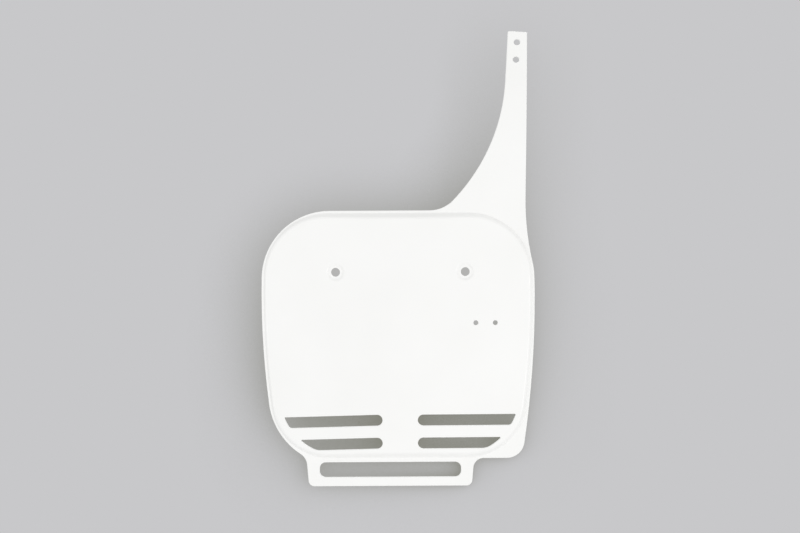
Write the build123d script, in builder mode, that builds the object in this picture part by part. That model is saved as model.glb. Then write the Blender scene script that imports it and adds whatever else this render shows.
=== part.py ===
from build123d import *
import os
from math import asin, atan2, cos, degrees, radians, sin, sqrt, tan

# A racing number board, moulded in one piece: a sheet with a raised number panel,
# four vents, a slotted tongue below and a strap that sweeps up and back.
# X runs to the viewer's right and Z up, and the front faces -Y. The origin lies midway
# between the two bracket bolts, in the plane of the rear faces of their seats.

# Moulded wall
WALL = 2.5
RIM_ROUND = 0.7
EDGE_BEVEL = 0.4

# Bracket bolt seats
BOLT_SPACING = 120.0
BOLT_HOLE = 8.2
SEAT_FLOOR = 12.0
SEAT_MOUTH = 16.5
SEAT_DEPTH = 1.6

# Board outline
BOARD_WIDTH = 253.4
BOARD_CENTRE = -2.2
BOARD_TOP = 57.0
BOARD_BOTTOM = -179.2
WIDEST_HEIGHT = -21.0
SIDE_RADIUS = 790.0
TOP_CORNER = 63.0
BOTTOM_CORNER = 65.5

# Raised number panel
PANEL_SIDE_MARGIN = 2.0
PANEL_TOP_MARGIN = 2.3
PANEL_BOTTOM_MARGIN = 7.2
PANEL_TOP_CORNER = 58.5
PANEL_BOTTOM_CORNER = 54.0
PANEL_STEP = 2.5
PANEL_BOW_RADIUS = 2400.0
PANEL_DRAFT = 40.0
SHOULDER_ROUND = 3.0
FOOT_ROUND = 0.7

# Corner ear beside the tongue
EAR_BOTTOM = -173.0
EAR_SIDE_RADIUS = 930.0
EAR_CORNER = 16.5
EAR_FILLET = 9.5

# Tongue and its slot
TONGUE_WIDTH = 151.0
TONGUE_CENTRE = -10.2
TONGUE_END = -198.4
TONGUE_TAPER = 5.0
TONGUE_CORNER = 5.5
TONGUE_FILLET = 13.0
SLOT_LENGTH = 131.0
SLOT_HEIGHT = 13.8
SLOT_CORNER = 5.5
SLOT_BAR = 8.4

# Strap
STRAP_INSET = 4.8
STRAP_WIDTH = 18.0
STRAP_RISE = 168.0
STRAP_SPLAY = 1.2
STRAP_LEAN = 3.8
STRAP_TAB = 48.0
STRAP_ROOT_WIDTH = 80.3
STRAP_ROOT_FILLET = 30.0
STRAP_SIDE_FILLET = 250.0
STRAP_END_CORNER = 1.5
SWEEP_START = 20.0
SWEEP_RADIUS = 900.0
STRAP_HOLE = 6.2
STRAP_HOLE_SPACING = 16.8
STRAP_HOLE_INSET = 18.5

# Vents
VENT_HEIGHT = 10.2
VENT_PITCH = 21.2
VENT_ROW = -136.9
VENT_GAP = 32.6
VENT_CENTRE = -0.9
VENT_MARGIN = 10.2
VENT_SHIFT = 0.8
VENT_TILT_LEFT = 1.45
VENT_TILT_RIGHT = 0.0
VENT_TIP = 0.8
VENT_UPPER_HEEL = 3.6
VENT_LOWER_HEEL = 15.0

# Pair of clip holes
CLIP_HOLE = 4.5
CLIP_SPACING = 18.0
CLIP_OUT = 78.5
CLIP_DROP = 47.3

# Points closer than this are one point
TOUCH = 0.01

# Places in the front view, worked out from the sizes above
board_right = BOARD_CENTRE + BOARD_WIDTH / 2
tongue_left = TONGUE_CENTRE - TONGUE_WIDTH / 2
tongue_right = TONGUE_CENTRE + TONGUE_WIDTH / 2
strap_end = BOARD_TOP + STRAP_RISE
strap_end_right = board_right - STRAP_INSET
strap_root = strap_end_right - STRAP_ROOT_WIDTH
panel_half_width = BOARD_WIDTH / 2 - PANEL_SIDE_MARGIN


def bow(x):
    """Depth by which the bowed panel falls back at a distance x from its middle."""
    return PANEL_BOW_RADIUS - sqrt(PANEL_BOW_RADIUS**2 - x**2)


# Depths along Y: the rear faces of the bolt seats are at zero
panel_front = -WALL - SEAT_DEPTH - bow(BOLT_SPACING / 2)
sheet_front = panel_front + bow(panel_half_width) + PANEL_STEP
sheet_rear = sheet_front + WALL
bow_axis = panel_front + PANEL_BOW_RADIUS
panel_depth = sheet_rear - panel_front
reach = BOARD_WIDTH + STRAP_RISE


def front_plane(depth):
    """A plane seen from the front, at a depth along Y."""
    return Plane.XZ.offset(-depth)


def shield(side, top, bottom, top_corner, bottom_corner, side_radius=SIDE_RADIUS):
    """A rounded shield that narrows downwards between two long side arcs."""

    def side_at(height):
        return side - side_radius + sqrt(side_radius**2 - (height - WIDEST_HEIGHT) ** 2)

    with BuildSketch() as outline:
        with BuildLine():
            Line((-side_at(top), top), (side_at(top), top))
            ThreePointArc((side_at(top), top), (side, WIDEST_HEIGHT), (side_at(bottom), bottom))
            Line((side_at(bottom), bottom), (-side_at(bottom), bottom))
            ThreePointArc((-side_at(bottom), bottom), (-side, WIDEST_HEIGHT), (-side_at(top), top))
        make_face()
        fillet(outline.vertices().group_by(Axis.Y)[-1], top_corner)
        fillet(outline.vertices().group_by(Axis.Y)[0], bottom_corner)
    return outline.sketch


def inset_shield(margin):
    """The board's shield drawn in from its edge by an even margin."""
    return shield(
        BOARD_WIDTH / 2 - margin,
        BOARD_TOP - margin,
        BOARD_BOTTOM + margin,
        TOP_CORNER - margin,
        BOTTOM_CORNER - margin,
    )


# Strap outline, carried down inside the board to its widest height
with BuildSketch() as strap_outline:
    lean = radians(STRAP_LEAN)
    splay = radians(STRAP_SPLAY)
    end_right = Vector(strap_end_right, strap_end - STRAP_WIDTH * sin(lean))
    end_left = end_right + STRAP_WIDTH * Vector(-cos(lean), sin(lean))
    right_length = (end_right.Y - WIDEST_HEIGHT) / cos(splay)
    with BuildLine():
        tab = PolarLine(end_left, STRAP_TAB, direction=(-sin(lean), -cos(lean)))
        flare = TangentArc(tab @ 1, (strap_root, BOARD_TOP), tangent=tab % 1)
        right = PolarLine(end_right, right_length, direction=(-sin(splay), -cos(splay)))
        Polyline(flare @ 1, (strap_root, WIDEST_HEIGHT), right @ 1)
        end_edge = Line(end_right, end_left)
    make_face()

# Tongue outline, widening a little upwards and carried up inside the board
tongue_rise = WIDEST_HEIGHT - TONGUE_END
tongue_spread = tongue_rise * tan(radians(TONGUE_TAPER))
with BuildSketch() as tongue_outline:
    with BuildLine():
        tongue_side = Line((tongue_left, TONGUE_END), (tongue_left - tongue_spread, WIDEST_HEIGHT))
        Line((tongue_right, TONGUE_END), (tongue_right + tongue_spread, WIDEST_HEIGHT))
        Line((tongue_left, TONGUE_END), (tongue_right, TONGUE_END))
        Line((tongue_left - tongue_spread, WIDEST_HEIGHT), (tongue_right + tongue_spread, WIDEST_HEIGHT))
    make_face()

# Corner ear: the board's side carried on to a tighter corner, right of the tongue
with BuildSketch() as ear_outline:
    with Locations((BOARD_CENTRE, 0)):
        add(shield(BOARD_WIDTH / 2, BOARD_TOP, EAR_BOTTOM, TOP_CORNER, EAR_CORNER, EAR_SIDE_RADIUS))
    with Locations((tongue_right, WIDEST_HEIGHT)):
        Rectangle(BOARD_WIDTH, BOARD_WIDTH, align=(Align.MIN, Align.MAX), mode=Mode.INTERSECT)

# Outline of the whole board
with BuildSketch(front_plane(0)) as board_outline:
    with Locations((BOARD_CENTRE, 0)):
        add(inset_shield(0))
    with Locations((tongue_right, EAR_BOTTOM)):
        Rectangle(BOARD_WIDTH, BOARD_WIDTH, align=(Align.MIN, Align.MAX), mode=Mode.SUBTRACT)
    add(ear_outline.sketch)
    add(tongue_outline.sketch)
    add(strap_outline.sketch)

    def on_line(edge):
        """The outline's corners on an edge, lowest first."""
        near = board_outline.vertices().filter_by(lambda v: edge.distance_to(v) < TOUCH)
        return near.sort_by(Axis.Y)

    def at_height(height):
        """The outline's corners at a height, leftmost first."""
        level = board_outline.vertices().filter_by(lambda v: abs(v.Y - height) < TOUCH)
        return level.sort_by(Axis.X)

    fillet(on_line(right)[0], STRAP_SIDE_FILLET)
    fillet(at_height(BOARD_TOP)[-1], STRAP_ROOT_FILLET)
    fillet(on_line(end_edge), STRAP_END_CORNER)
    fillet(at_height(EAR_BOTTOM)[0], EAR_FILLET)
    fillet(at_height(TONGUE_END), TONGUE_CORNER)
    fillet(on_line(tongue_side)[-1], TONGUE_FILLET)

# Raised panel: a drafted block with a bowed front, and the hollow one wall behind it
draft = radians(PANEL_DRAFT)
hollow_inset = WALL * (1 - sin(draft)) / cos(draft)


def panel_section(depth, inset):
    """The panel's outline, drawn in by an inset, at a depth."""
    with BuildSketch(front_plane(depth)) as section:
        with Locations((BOARD_CENTRE, 0)):
            add(
                shield(
                    panel_half_width - inset,
                    BOARD_TOP - PANEL_TOP_MARGIN - inset,
                    BOARD_BOTTOM + PANEL_BOTTOM_MARGIN + inset,
                    PANEL_TOP_CORNER - inset,
                    PANEL_BOTTOM_CORNER - inset,
                )
            )
    return section.sketch


def drafted_sections(depth, inset):
    """Rear and front sections of a block with drafted walls that starts at a depth."""
    rear = panel_section(depth, inset)
    front = panel_section(depth - panel_depth, inset + panel_depth * tan(draft))
    return [rear, front]


with BuildPart() as panel_body:
    loft(drafted_sections(sheet_front, 0), ruled=True)
    with Locations((0, bow_axis, 0)):
        Cylinder(PANEL_BOW_RADIUS, 2 * reach, mode=Mode.INTERSECT)

with BuildPart() as panel_hollow:
    loft(drafted_sections(sheet_rear, hollow_inset), ruled=True)
    with Locations((0, bow_axis, 0)):
        Cylinder(PANEL_BOW_RADIUS - WALL, 2 * reach, mode=Mode.INTERSECT)



def vent(side, height, tilt, heel):
    """A vent opening with a round inner end, its outer end following the board's edge."""
    inner_end = VENT_CENTRE + side * (VENT_GAP + VENT_HEIGHT) / 2
    outwards = Align.MAX if side < 0 else Align.MIN
    with BuildSketch() as opening:
        with Locations(Location((inner_end, height), tilt)):
            Circle(VENT_HEIGHT / 2)
            Rectangle(BOARD_WIDTH / 2, VENT_HEIGHT, align=(outwards, Align.CENTER))
        with Locations((BOARD_CENTRE + VENT_SHIFT, 0)):
            add(inset_shield(VENT_MARGIN), mode=Mode.INTERSECT)
        fillet(opening.vertices().sort_by(Axis.X, reverse=side > 0)[1], heel)
        fillet(opening.vertices().sort_by(Axis.X, reverse=side > 0)[0], VENT_TIP)
    return opening.sketch


# Vent openings: two rows each side of the middle
with BuildSketch(front_plane(0)) as vent_openings:
    for side, tilt in ((-1, VENT_TILT_LEFT), (1, VENT_TILT_RIGHT)):
        add(vent(side, VENT_ROW, tilt, VENT_UPPER_HEEL))
        add(vent(side, VENT_ROW - VENT_PITCH, tilt, VENT_LOWER_HEEL))

# Where the strap leaves the flat of the sheet, and its turn at the end
sweep_height = BOARD_TOP + SWEEP_START
sweep_turn = degrees(asin((strap_end + WALL - sweep_height) / (SWEEP_RADIUS - WALL)))

# Strap holes: a plane square to the strap between the two of them
strap_hole_middle = (end_left + end_right) / 2 - STRAP_HOLE_INSET * Vector(sin(lean), cos(lean))
hole_turn = asin((strap_hole_middle.Y - sweep_height) / SWEEP_RADIUS)
strap_hole_plane = Plane(
    origin=(
        strap_hole_middle.X,
        sheet_front + SWEEP_RADIUS * (1 - cos(hole_turn)),
        strap_hole_middle.Y,
    ),
    x_dir=(1, 0, 0),
    z_dir=(0, -cos(hole_turn), sin(hole_turn)),
)

# Slope of the dished walls of the bolt seats
seat_slope = -degrees(atan2((SEAT_MOUTH - SEAT_FLOOR) / 2, SEAT_DEPTH))

with BuildPart() as number_board:
    # Sheet seen from the side: flat from the tongue up, then swept back along the strap
    with BuildSketch(Plane.YZ):
        with BuildLine():
            front = Line((sheet_front, TONGUE_END - WALL), (sheet_front, sweep_height))
            front_sweep = JernArc(front @ 1, front % 1, SWEEP_RADIUS, -sweep_turn)
            rear = Line((sheet_rear, TONGUE_END - WALL), (sheet_rear, sweep_height))
            rear_sweep = JernArc(rear @ 1, rear % 1, SWEEP_RADIUS - WALL, -sweep_turn)
            Line(front @ 0, rear @ 0)
            Line(front_sweep @ 1, rear_sweep @ 1)
        make_face()
    extrude(amount=reach, both=True)
    extrude(board_outline.sketch, amount=reach, both=True, mode=Mode.INTERSECT)

    def bowed_face(radius):
        """The largest face with a bow of this radius."""
        bowed = number_board.faces().filter_by(GeomType.CYLINDER)
        return bowed.filter_by(lambda f: abs(f.radius - radius) < TOUCH).sort_by(SortBy.AREA)[-1]

    def sheet_face(depth):
        """The largest flat face at this depth."""
        flat = number_board.faces().filter_by(Axis.Y)
        return flat.filter_by(lambda f: abs(f.center().Y - depth) < TOUCH).sort_by(SortBy.AREA)[-1]

    # Rim rounded in front and bevelled behind, left whole where the strap's sweep begins
    across = number_board.edges().filter_by(Axis.X)
    seams = across.filter_by(lambda e: abs(e.center().Z - sweep_height) < TOUCH)
    front_rim = sheet_face(sheet_front).edges() + bowed_face(SWEEP_RADIUS).edges() - seams
    rear_rim = sheet_face(sheet_rear).edges() + bowed_face(SWEEP_RADIUS - WALL).edges() - seams
    fillet(front_rim, RIM_ROUND)
    chamfer(rear_rim, EDGE_BEVEL)

    # Raised panel and the hollow behind it
    add(panel_body.part)
    add(panel_hollow.part, mode=Mode.SUBTRACT)

    fillet(bowed_face(PANEL_BOW_RADIUS).edges(), SHOULDER_ROUND)
    fillet(sheet_face(sheet_front).inner_wires()[0].edges(), FOOT_ROUND)
    fillet(bowed_face(PANEL_BOW_RADIUS - WALL).edges(), FOOT_ROUND)

    # Bolt seats: dished from the front, with a pad of the same wall behind
    with BuildSketch(front_plane(0)):
        with GridLocations(BOLT_SPACING, 0, 2, 1):
            Circle(SEAT_FLOOR / 2 + WALL / 2)
    extrude(amount=WALL, taper=seat_slope)
    with BuildSketch(front_plane(-WALL)):
        with GridLocations(BOLT_SPACING, 0, 2, 1):
            Circle(SEAT_FLOOR / 2)
    extrude(amount=2 * SEAT_DEPTH, taper=seat_slope, mode=Mode.SUBTRACT)

    # Holes, vents and the tongue's slot
    with BuildSketch(front_plane(0)):
        with GridLocations(BOLT_SPACING, 0, 2, 1):
            Circle(BOLT_HOLE / 2)
        with Locations((CLIP_OUT, -CLIP_DROP)):
            with GridLocations(CLIP_SPACING, 0, 2, 1):
                Circle(CLIP_HOLE / 2)
        with Locations((TONGUE_CENTRE, TONGUE_END + SLOT_BAR + SLOT_HEIGHT / 2)):
            RectangleRounded(SLOT_LENGTH, SLOT_HEIGHT, SLOT_CORNER)
    extrude(amount=reach, both=True, mode=Mode.SUBTRACT)
    extrude(vent_openings.sketch, amount=reach, both=True, mode=Mode.SUBTRACT)
    with BuildSketch(strap_hole_plane):
        with PolarLocations(STRAP_HOLE_SPACING / 2, 2, start_angle=90 - STRAP_LEAN):
            Circle(STRAP_HOLE / 2)
    extrude(amount=2 * WALL, both=True, mode=Mode.SUBTRACT)

    # Bevelled front edges of the openings in the panel and of the tongue's slot
    panel_openings = bowed_face(PANEL_BOW_RADIUS).inner_wires()
    chamfer([edge for wire in panel_openings for edge in wire.edges()], EDGE_BEVEL)
    slot_opening = sheet_face(sheet_front).inner_wires().sort_by(SortBy.LENGTH)[0]
    chamfer(slot_opening.edges(), EDGE_BEVEL)

number_board.part.label = "number_board"
os.makedirs("parts", exist_ok=True)
export_step(number_board.part, "parts/number_board.step")
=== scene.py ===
from math import radians

import bmesh
import bpy
from mathutils import Matrix, Vector


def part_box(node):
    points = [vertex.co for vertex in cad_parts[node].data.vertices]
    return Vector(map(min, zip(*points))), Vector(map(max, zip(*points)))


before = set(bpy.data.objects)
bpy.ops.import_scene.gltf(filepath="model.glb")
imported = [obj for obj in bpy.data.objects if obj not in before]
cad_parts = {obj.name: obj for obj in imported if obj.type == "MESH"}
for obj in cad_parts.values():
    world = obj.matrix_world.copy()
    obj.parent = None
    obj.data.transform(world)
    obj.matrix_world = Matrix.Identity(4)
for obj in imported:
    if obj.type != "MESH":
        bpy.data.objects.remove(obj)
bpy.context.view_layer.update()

# A white moulded racing number board, lying on its back on a pale floor and seen from straight
# above. Sizes are millimetres, turned to metres by MM. Angles are degrees.
MM = 0.001

# Camera: where the photograph was taken from, in the board's own frame
VIEW_DISTANCE = 1300.0
VIEW_CENTRE_X = -0.33
VIEW_CENTRE_Z = 5.03
VIEW_ROLL = 0.3
VIEW_WIDTH = 738.4
SENSOR_WIDTH = 36.0

# Plastic: its white, the tone where the melt slowed, and the sizes of its patterns
WHITE_PLASTIC = "#F9F9F8"
FLOW_TONE = "#F3F3F1"
FLOW_WIDTH = 70.0
HAZE_WIDTH = 9.0
GRAIN_WIDTH = 1.5
GRAIN_DEPTH = 0.1

# Floor: its place behind the board's lower end, its lean and turn, and its paper plain and in
# painted shade
FLOOR_HALF = 3000.0
FLOOR_GAP = 10.0
FLOOR_TILT = 8.0
FLOOR_TURN = 2.5
FLOOR_PAPER = "#C8C8CA"
PAINTED_SHADE_PAPER = "#7A7A6E"

# Painted shade on the floor, worked out from how much the board hides around each point: how far off
# the board still shades it, the share of light at which the painted shade is full, and the sides
# whose light it stands for, each with its share
SHADE_REACH = 85.0
SHADE_DEPTH = 0.44
SHADE_SAMPLES = 8
PAINTED_SHADE_SIDES = (((0.8, -0.55, -0.15), 0.65), ((-0.9, -0.4, -0.1), 0.35))

# Painted pool of light on the floor, standing for light through the thin plastic, which lifts the
# painted shade behind the panel's middle: its tone, the middle and half sizes of its soft pool along
# X, Y and Z, and the part of them that fades
PAINTED_POOL_PAPER = "#AEAEAC"
PAINTED_POOL_CENTRE = (10.0, 0.0, -20.0)
PAINTED_POOL_HALF = (116.0, 1000.0, 76.0)
PAINTED_POOL_EDGE = 0.34

# Light on the board: soft boxes in a lit room, each with its turn to the right of the board's
# front, its lift and its watts
LAMP_DISTANCE = 4000.0
LAMP_SIZE = (1600.0, 1200.0)
LAMPS = {
    "right_box": (35, -8, 36.0),
    "left_box": (-50, -4, 19.0),
    "rear_box": (160, 25, 36.0),
}
ROOM_WHITE = "#FFFFFF"
ROOM_LIGHT = 0.78

# Places of a colour mix's two colours and of its result among the node's sockets
MIX_FIRST = 6
MIX_SECOND = 7
MIX_RESULT = 2

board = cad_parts["number_board"]
board_low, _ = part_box("number_board")


def linear(code):
    """A colour written as sRGB hex, as linear values."""
    channels = [int(code[i : i + 2], 16) / 255 for i in (1, 3, 5)]
    return [c / 12.92 if c <= 0.04045 else ((c + 0.055) / 1.055) ** 2.4 for c in channels] + [1.0]


def add_node(tree, kind, inputs=None, **settings):
    """Adds a node; an input, by name or place, is a value or the socket that feeds it."""
    node = tree.nodes.new(kind)
    for name, value in settings.items():
        setattr(node, name, value)
    for key, value in (inputs or {}).items():
        if isinstance(value, bpy.types.NodeSocket):
            tree.links.new(value, node.inputs[key])
        else:
            node.inputs[key].default_value = value
    return node


def new_material(name):
    """An empty node material and its tree."""
    material = bpy.data.materials.new(name)
    material.use_nodes = True
    material.node_tree.nodes.clear()
    return material, material.node_tree


def moulded_polypropylene():
    """Moulded white polypropylene: satin, nearly opaque, a little uneven where the melt flowed."""
    material, tree = new_material("moulded_polypropylene")
    place = add_node(tree, "ShaderNodeTexCoord").outputs["Object"]

    # Slow change of tone where the melt met the mould
    flow = add_node(
        tree,
        "ShaderNodeTexNoise",
        {"Vector": place, "Scale": 1 / (FLOW_WIDTH * MM), "Detail": 3.0},
    )
    tone = add_node(
        tree,
        "ShaderNodeMix",
        {
            "Factor": flow.outputs["Fac"],
            MIX_FIRST: linear(WHITE_PLASTIC),
            MIX_SECOND: linear(FLOW_TONE),
        },
        data_type="RGBA",
    )

    # Haze from handling, drawn as a change of gloss
    haze = add_node(
        tree,
        "ShaderNodeTexNoise",
        {"Vector": place, "Scale": 1 / (HAZE_WIDTH * MM), "Detail": 4.0},
    )
    gloss = add_node(
        tree,
        "ShaderNodeMapRange",
        {
            "Value": haze.outputs["Fac"],
            "From Min": 0.3,
            "From Max": 0.7,
            "To Min": 0.34,
            "To Max": 0.46,
        },
    )

    # Grain of the mould's face, 0.3 mm wide on the real one and drawn at 1.5 mm so that it shows
    grain = add_node(
        tree,
        "ShaderNodeTexNoise",
        {"Vector": place, "Scale": 1 / (GRAIN_WIDTH * MM), "Detail": 2.0},
    )
    relief = add_node(
        tree,
        "ShaderNodeBump",
        {"Height": grain.outputs["Fac"], "Strength": 0.06, "Distance": GRAIN_DEPTH * MM},
    )

    surface = add_node(
        tree,
        "ShaderNodeBsdfPrincipled",
        {
            "Base Color": tone.outputs[MIX_RESULT],
            "Roughness": gloss.outputs["Result"],
            "Normal": relief.outputs["Normal"],
            "IOR": 1.49,
        },
    )
    add_node(tree, "ShaderNodeOutputMaterial", {"Surface": surface.outputs["BSDF"]})
    return material


def paper_with_painted_shade():
    """Matte grey paper, drawn at its own even level, with painted shade where the board hides its
    light and a painted pool of light behind the panel's middle; it can't be seen from behind.
    """
    material, tree = new_material("paper_with_painted_shade")

    # Painted shade: how open the paper is toward each side within reach of the board, added up by
    # share
    light = 0.0
    for side, share in PAINTED_SHADE_SIDES:
        toward = add_node(tree, "ShaderNodeCombineXYZ", dict(zip("XYZ", side)))
        reaching = add_node(
            tree,
            "ShaderNodeAmbientOcclusion",
            {"Distance": SHADE_REACH * MM, "Normal": toward.outputs["Vector"]},
            samples=SHADE_SAMPLES,
        )
        total = add_node(
            tree,
            "ShaderNodeMath",
            {0: reaching.outputs["AO"], 1: share, 2: light},
            operation="MULTIPLY_ADD",
        )
        light = total.outputs["Value"]

    # Painted pool of light, standing for light through the thin plastic, which lifts the painted
    # shade behind the panel's middle
    place = add_node(tree, "ShaderNodeTexCoord").outputs["Object"]
    spread = add_node(
        tree,
        "ShaderNodeMapping",
        {
            "Vector": place,
            "Location": [length * MM for length in PAINTED_POOL_CENTRE],
            "Scale": [length * MM for length in PAINTED_POOL_HALF],
        },
        vector_type="TEXTURE",
    )
    painted_pool = add_node(
        tree,
        "ShaderNodeTexGradient",
        {"Vector": spread.outputs["Vector"]},
        gradient_type="SPHERICAL",
    )
    painted_pool_fade = add_node(
        tree,
        "ShaderNodeMapRange",
        {"Value": painted_pool.outputs["Fac"], "From Max": PAINTED_POOL_EDGE},
        interpolation_type="SMOOTHSTEP",
    )
    painted_shade_colour = add_node(
        tree,
        "ShaderNodeMix",
        {
            "Factor": painted_pool_fade.outputs["Result"],
            MIX_FIRST: linear(PAINTED_SHADE_PAPER),
            MIX_SECOND: linear(PAINTED_POOL_PAPER),
        },
        data_type="RGBA",
    )

    # The paper's tone, from full painted shade to its plain grey, and nothing at all from behind
    painted_shade = add_node(tree, "ShaderNodeMapRange", {"Value": light, "From Min": SHADE_DEPTH})
    tone = add_node(
        tree,
        "ShaderNodeMix",
        {
            "Factor": painted_shade.outputs["Result"],
            MIX_FIRST: painted_shade_colour.outputs[MIX_RESULT],
            MIX_SECOND: linear(FLOOR_PAPER),
        },
        data_type="RGBA",
    )
    # The paper is drawn as emission, so its shade and its pool of light are painted, not lit by the
    # lamps
    paper = add_node(
        tree, "ShaderNodeEmission", {"Color": tone.outputs[MIX_RESULT], "Strength": 1.0}
    )
    clear = add_node(tree, "ShaderNodeBsdfTransparent")
    facing = add_node(tree, "ShaderNodeNewGeometry")
    sides = add_node(
        tree,
        "ShaderNodeMixShader",
        {
            "Fac": facing.outputs["Backfacing"],
            1: paper.outputs["Emission"],
            2: clear.outputs["BSDF"],
        },
    )
    add_node(tree, "ShaderNodeOutputMaterial", {"Surface": sides.outputs["Shader"]})
    return material


def studio_floor():
    """A wide flat floor behind the board, which lets the room's light reach the board's rear."""
    form = bmesh.new()
    bmesh.ops.create_grid(form, x_segments=1, y_segments=1, size=FLOOR_HALF * MM)
    lean = Matrix.Rotation(radians(90 - FLOOR_TILT), 3, "X")
    turn = Matrix.Rotation(radians(-FLOOR_TURN), 3, "Z")
    bmesh.ops.rotate(form, matrix=turn @ lean, verts=form.verts)
    bmesh.ops.translate(form, vec=(0, FLOOR_GAP * MM, board_low.z), verts=form.verts)
    mesh = bpy.data.meshes.new("studio_floor")
    form.to_mesh(mesh)
    form.free()
    mesh.materials.append(paper_with_painted_shade())

    floor = bpy.data.objects.new("studio_floor", mesh)
    bpy.context.scene.collection.objects.link(floor)
    floor.visible_diffuse = False
    floor.visible_glossy = False
    floor.visible_transmission = False
    floor.visible_shadow = False
    return floor


def soft_box(name, turn, lift, power):
    """A soft box facing the board, turned to the right of its front and lifted."""
    light = bpy.data.lights.new(name, "AREA")
    light.shape = "RECTANGLE"
    light.size, light.size_y = (side * MM for side in LAMP_SIZE)
    light.energy = power
    lamp = bpy.data.objects.new(name, light)
    lamp.rotation_euler = (radians(90 - lift), 0, radians(turn))
    lamp.location = lamp.rotation_euler.to_matrix() @ Vector((0, 0, LAMP_DISTANCE * MM))
    lamp.visible_camera = False
    bpy.context.scene.collection.objects.link(lamp)


def pale_room():
    """An evenly lit room: white light on the board, the paper's grey to the eye and mirrored."""
    world = bpy.data.worlds.new("pale_room")
    world.use_nodes = True
    tree = world.node_tree
    tree.nodes.clear()
    ray = add_node(tree, "ShaderNodeLightPath")
    seen = ray.outputs["Is Camera Ray"]
    for kind in ("Is Glossy Ray", "Is Transmission Ray"):
        either = add_node(
            tree, "ShaderNodeMath", {0: seen, 1: ray.outputs[kind]}, operation="MAXIMUM"
        )
        seen = either.outputs["Value"]
    room = add_node(
        tree, "ShaderNodeBackground", {"Color": linear(ROOM_WHITE), "Strength": ROOM_LIGHT}
    )
    backdrop = add_node(
        tree, "ShaderNodeBackground", {"Color": linear(FLOOR_PAPER), "Strength": 1.0}
    )
    mix = add_node(
        tree,
        "ShaderNodeMixShader",
        {"Fac": seen, 1: room.outputs["Background"], 2: backdrop.outputs["Background"]},
    )
    add_node(tree, "ShaderNodeOutputWorld", {"Surface": mix.outputs["Shader"]})
    return world


def photo_camera():
    """A camera square to the board, rolled a little so that the board leans as in the photograph."""
    lens = bpy.data.cameras.new("photo_camera")
    lens.sensor_width = SENSOR_WIDTH
    lens.lens = SENSOR_WIDTH * VIEW_DISTANCE / VIEW_WIDTH
    camera = bpy.data.objects.new("photo_camera", lens)
    camera.location = (
        VIEW_CENTRE_X * MM,
        board_low.y - VIEW_DISTANCE * MM,
        VIEW_CENTRE_Z * MM,
    )
    camera.rotation_euler = (radians(90), radians(VIEW_ROLL), 0)
    bpy.context.scene.collection.objects.link(camera)
    return camera


board.material_slots[0].material = moulded_polypropylene()
studio_floor()
for name, (turn, lift, power) in LAMPS.items():
    soft_box(name, turn, lift, power)
bpy.context.scene.world = pale_room()
bpy.context.scene.camera = photo_camera()
bpy.context.scene.view_settings.view_transform = "Standard"
